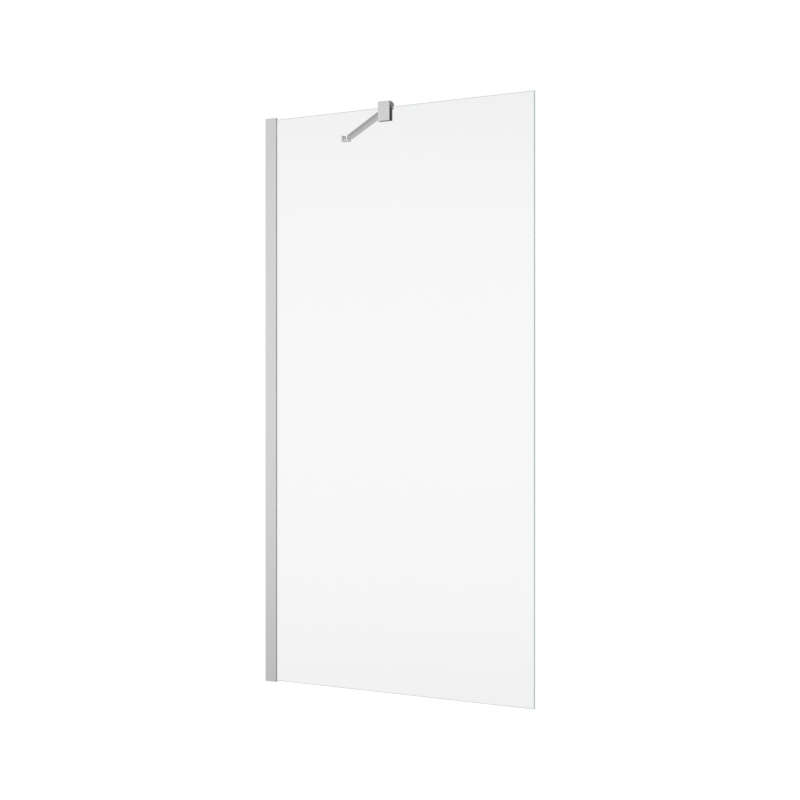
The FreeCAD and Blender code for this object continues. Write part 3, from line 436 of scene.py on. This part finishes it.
# ---- Pads and jaw of the clamp -------------------------------------------------------
# Rubber pads lie on both faces of the glass. Behind the rear one is a jaw of black nylon,
# which two steel set screws in the rear wall press forward.
for node in ("clamp_front_pad", "clamp_rear_pad"):
    finish(node, black_rubber)
finish("clamp_jaw", black_nylon)
finish("clamp_screws", steel)

# ---- Swivel joints ---------------------------------------------------------------------
# Each end of the bar turns on a shouldered screw, between a white nylon washer on the lug
# and a steel one under the screw's head. Tightened, the screw holds the bar at its angle.
white_nylon = new_finish("white_nylon", IOR=1.53)
lay(moulded_skin, white_nylon, (0.68, 0.68, 0.65), (0.78, 0.78, 0.75), 0.00003,
    Grain=2200.0, Smooth=0.32, Rough=0.5)
for place in ("clamp", "bracket"):
    finish(f"{place}_pivot_screw", steel)
    finish(f"{place}_head_washer", steel)
    finish(f"{place}_spacer", white_nylon)

# ---- Bar --------------------------------------------------------------------------------
# The bar is a flat brass tube with rounded corners, 17 by 10 mm, polished and chromium
# plated. A small set screw near each end, flush with its top, holds it on its end fitting.


def pivot_at(washer):
    """Place of a swivel at the height of the glass top, from the washer that lies on its lug."""
    low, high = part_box(washer)
    return ((low[0] + high[0]) / 2, (low[1] + high[1]) / 2, glass_top)


clamp_pivot = pivot_at("clamp_spacer")
wall_pivot = pivot_at("bracket_spacer")
between = math.dist(clamp_pivot, wall_pivot) * 1000


def flat_block(bm, start, end, half, low, high):
    """A block along X, between two heights and as far to each side of the X axis."""
    prism(bm, [(start, -half, low), (start, half, low), (start, half, high), (start, -half, high)],
          (end - start, 0, 0))


def bar_block(bm, start, end):
    """A length of the bar's outline, with its rounded corners."""
    flat_block(bm, start, end, bar_half, bar_low, bar_high)
    round_off(bm, (start, -bar_half, bar_low), (end, bar_half, bar_high), 0, 1.6, 6)


bar_half, bar_low, bar_high = 8.5, 5, 15
tube_start, tube_wall, set_screw_at = 18, 1.2, 29
bm = bmesh.new()
bar_block(bm, tube_start, between - tube_start)
drill = bmesh.new()
flat_block(drill, tube_start - 1, between - tube_start + 1, bar_half - tube_wall,
           bar_low + tube_wall, bar_high - tube_wall)
bm = drilled(bm, drill)
drill = bmesh.new()
for run in (set_screw_at, between - set_screw_at):
    rod(drill, (run, 0, 0), 2, 13, 3, thin_thread)
bm = drilled(bm, drill)
set_down(bm, 135, clamp_pivot)
polish(new_piece("bar", bm, "arm", ["arm_bar"], "chrome", chrome))
finish("arm_set_screws", steel)

# ---- End fittings of the bar ----------------------------------------------------------
# A casting closes each end of the tube: a plug inside it, a collar flush with its outside,
# and a tongue that ends in a round eye for the pivot. Both castings come from one die.
collar_start, eye_half, eye_low, eye_high, eye_bore = 16, 4.7, 6.8, 13.2, 2.55
plug_end, plug_half, plug_low, plug_high = 40, 7.2, 6.3, 13.7
for name, node, turn, pivot in (("clamp_end_of_bar", "arm_end_clamp", 135, clamp_pivot),
                                ("wall_end_of_bar", "arm_end_wall", -45, wall_pivot)):
    bm = bmesh.new()
    bar_block(bm, collar_start, tube_start)
    score(bm, (collar_start, -bar_half, bar_low), (collar_start, bar_half, bar_high),
          1, -eye_half, eye_half)
    score(bm, (collar_start, -eye_half, bar_low), (collar_start, eye_half, bar_high),
          2, eye_low, eye_high)
    pull(bm, faces_in(bm, (collar_start, -eye_half, eye_low), (collar_start, eye_half, eye_high)),
         (-collar_start - eye_half, 0, 0))
    for side in (-eye_half, eye_half):
        round_off(bm, (-eye_half, side, eye_low), (-eye_half, side, eye_high), 2, 4.68, 14)
    ease(bm, 0.3)
    flat_block(bm, tube_start - 0.1, plug_end, plug_half, plug_low, plug_high)
    drill = bmesh.new()
    rod(drill, (0, 0, 0), 2, 6, 8, eye_bore)
    bm = drilled(bm, drill)
    set_down(bm, turn, pivot)
    polish(new_piece(name, bm, "arm", [node], "chrome", chrome))

# ---- Wall bracket -----------------------------------------------------------------------
# A small casting on the tiles: a square plate with a bevelled edge and one countersunk hole
# for its screw, and a round-ended shelf below it that carries the end of the bar.
plate_half, plate_low, plate_high, plate_thick = 8, 0.8, 16.4, 6.2
shelf_half, shelf_high, shelf_end, pivot_out = 6.5, 6.0, 26.5, 20
hole_high, hole_r, sink_r = 11.2, 2.6, 4.21
bm = bmesh.new()
flat_block(bm, 0, plate_thick, plate_half, plate_low, plate_high)
score(bm, (plate_thick, -plate_half, plate_low), (plate_thick, plate_half, plate_high),
      1, -shelf_half, shelf_half)
score(bm, (plate_thick, -shelf_half, plate_low), (plate_thick, shelf_half, plate_high),
      2, shelf_high)
pull(bm, faces_in(bm, (plate_thick, -shelf_half, plate_low), (plate_thick, shelf_half, shelf_high)),
     (shelf_end - plate_thick, 0, 0))
for side in (-shelf_half, shelf_half):
    round_off(bm, (shelf_end, side, plate_low), (shelf_end, side, shelf_high), 2, 6.48, 16)
ease(bm, 0.45)
drill = bmesh.new()
rod(drill, (0, 0, hole_high), 0, -1, 8, hole_r)
rod(drill, (pivot_out, 0, 0), 2, 0, 7, thin_thread)
bm = drilled(bm, drill)
drill = bmesh.new()
rod(drill, (0, 0, hole_high), 0, 4.4, 1.81, hole_r, sink_r)
bm = drilled(bm, drill)
set_down(bm, 0, (0, wall_pivot[1], glass_top))
polish(new_piece("bar_bracket", bm, "bracket", ["wall_bracket"], "chrome", chrome))

# ---- Studio ---------------------------------------------------------------------------
# A white room seen from the photographer's place. Metal mirrors a soft white screen behind
# the camera, brightest at eye level, a grey screen at the left and a dark one at the right.
scene.view_settings.view_transform = "Standard"
world = bpy.data.worlds.new("studio")
scene.world = world
world.use_nodes = True
nodes, links = world.node_tree.nodes, world.node_tree.links
nodes.remove(nodes["Background"])
way = nodes.new("ShaderNodeTexCoord")
split = nodes.new("ShaderNodeSeparateXYZ")
height = nodes.new("ShaderNodeMapRange")
height.inputs["From Min"].default_value = -0.25
height.inputs["From Max"].default_value = 0.25
links.new(way.outputs["Generated"], split.inputs["Vector"])
links.new(split.outputs["Z"], height.inputs["Value"])


def screen_tone(stops):
    """Brightness of the room by height: pairs of (height of the direction, grey)."""
    ramp = nodes.new("ShaderNodeValToRGB")
    ramp.color_ramp.interpolation = "B_SPLINE"
    stones = ramp.color_ramp.elements
    while len(stones) < len(stops):
        stones.new(0.5)
    for stone, (z, grey) in zip(stones, stops):
        stone.position = (z + 0.25) / 0.5
        stone.color = (grey, grey, grey, 1)
    links.new(height.outputs["Result"], ramp.inputs["Fac"])
    return ramp.outputs["Color"]


def screen_at(direction, edge, core, grey, behind):
    """A soft-edged grey screen that hangs in one direction, in front of what is behind it."""
    towards = nodes.new("ShaderNodeVectorMath")
    towards.operation = "DOT_PRODUCT"
    towards.inputs[1].default_value = direction
    soft = nodes.new("ShaderNodeMapRange")
    soft.interpolation_type = "SMOOTHSTEP"
    soft.inputs["From Min"].default_value = edge
    soft.inputs["From Max"].default_value = core
    over = nodes.new("ShaderNodeMix")
    over.data_type = "RGBA"
    over.inputs["B"].default_value = (grey, grey, grey * 1.01, 1)
    links.new(way.outputs["Generated"], towards.inputs[0])
    links.new(towards.outputs["Value"], soft.inputs["Value"])
    links.new(soft.outputs["Result"], over.inputs["Factor"])
    links.new(behind, over.inputs["A"])
    return over.outputs["Result"]


def glow(colour):
    light = nodes.new("ShaderNodeBackground")
    if isinstance(colour, float):
        light.inputs["Color"].default_value = (colour, colour, colour, 1)
    else:
        links.new(colour, light.inputs["Color"])
    return light.outputs["Background"]


def by_ray(kind, other, own):
    """The room's look for one kind of ray, over its look for the rest."""
    mix = nodes.new("ShaderNodeMixShader")
    links.new(kind, mix.inputs["Fac"])
    links.new(other, mix.inputs[1])
    links.new(own, mix.inputs[2])
    return mix.outputs["Shader"]


path = nodes.new("ShaderNodeLightPath")
mirrored = screen_tone([(-0.25, 0.5), (-0.18, 0.62), (-0.13, 0.71), (-0.065, 0.83), (0.0, 0.86),
                        (0.13, 0.81), (0.19, 0.75), (0.25, 0.7)])
mirrored = screen_at((-0.84, 0.51, 0.18), 0.7, 0.97, 0.4, mirrored)
mirrored = screen_at((0.52, 0.85, 0.05), 0.75, 0.93, 0.23, mirrored)
through = screen_tone([(-0.25, 0.92), (-0.19, 0.94), (-0.13, 0.975), (0.0, 0.985), (0.1, 0.98),
                       (0.165, 0.95), (0.19, 0.925), (0.25, 0.92)])
straight = nodes.new("ShaderNodeMath")
straight.operation = "LESS_THAN"
straight.inputs[1].default_value = 0.5
links.new(path.outputs["Glossy Depth"], straight.inputs[0])
lit_only = nodes.new("ShaderNodeMath")
lit_only.operation = "MULTIPLY"
links.new(path.outputs["Is Diffuse Ray"], lit_only.inputs[0])
links.new(straight.outputs["Value"], lit_only.inputs[1])
straight_through = nodes.new("ShaderNodeMath")
straight_through.operation = "MULTIPLY"
links.new(path.outputs["Is Transmission Ray"], straight_through.inputs[0])
links.new(straight.outputs["Value"], straight_through.inputs[1])
room = by_ray(lit_only.outputs["Value"], glow(mirrored), glow(0.9))
room = by_ray(straight_through.outputs["Value"], room, glow(through))
room = by_ray(path.outputs["Is Camera Ray"], room, glow(1.0))
links.new(room, nodes["World Output"].inputs["Surface"])

bm = bmesh.new()
bmesh.ops.create_grid(bm, x_segments=1, y_segments=1, size=20)
bmesh.ops.translate(bm, verts=bm.verts, vec=(0, 0, -0.0004))
mesh = bpy.data.meshes.new("floor")
bm.to_mesh(mesh)
bm.free()
floor = bpy.data.objects.new("floor", mesh)
floor.visible_glossy = False
floor.visible_transmission = False
scene.collection.objects.link(floor)
pale = new_finish("pale_floor", Roughness=0.9)
nodes, links = pale.node_tree.nodes, pale.node_tree.links
shader = nodes["Principled BSDF"]
shader.inputs["Specular IOR Level"].default_value = 0.0
shader.inputs["Emission Color"].default_value = (1, 1, 1, 1)
lit = nodes.new("ShaderNodeLightPath")
paint = nodes.new("ShaderNodeMix")
paint.data_type = "RGBA"
paint.inputs["A"].default_value = (0.9, 0.9, 0.9, 1)
paint.inputs["B"].default_value = (0.28, 0.28, 0.28, 1)
level = nodes.new("ShaderNodeMath")
level.operation = "MULTIPLY"
level.inputs[1].default_value = 0.76
links.new(lit.outputs["Is Camera Ray"], paint.inputs["Factor"])
links.new(paint.outputs["Result"], shader.inputs["Base Color"])
links.new(lit.outputs["Is Camera Ray"], level.inputs[0])
links.new(level.outputs["Value"], shader.inputs["Emission Strength"])
floor.data.materials.append(pale)

lamp = bpy.data.lights.new("softbox", "AREA")
lamp.shape = "RECTANGLE"
lamp.size = 3.0
lamp.size_y = 3.0
lamp.energy = 60
softbox = bpy.data.objects.new("softbox", lamp)
softbox.location = (1.5, -1.5, 4.5)
softbox.rotation_euler = (math.radians(22), math.radians(18), 0)
softbox.visible_glossy = False
scene.collection.objects.link(softbox)

lens = bpy.data.cameras.new("photo_view")
lens.sensor_width = 36.0
lens.lens = 67.455
lens.shift_y = 3 / 800
camera = bpy.data.objects.new("photo_view", lens)
camera.location = (2.1586, -3.0759, 0.6921)
camera.rotation_euler = (math.radians(90), 0, math.radians(30))
scene.collection.objects.link(camera)
scene.camera = camera
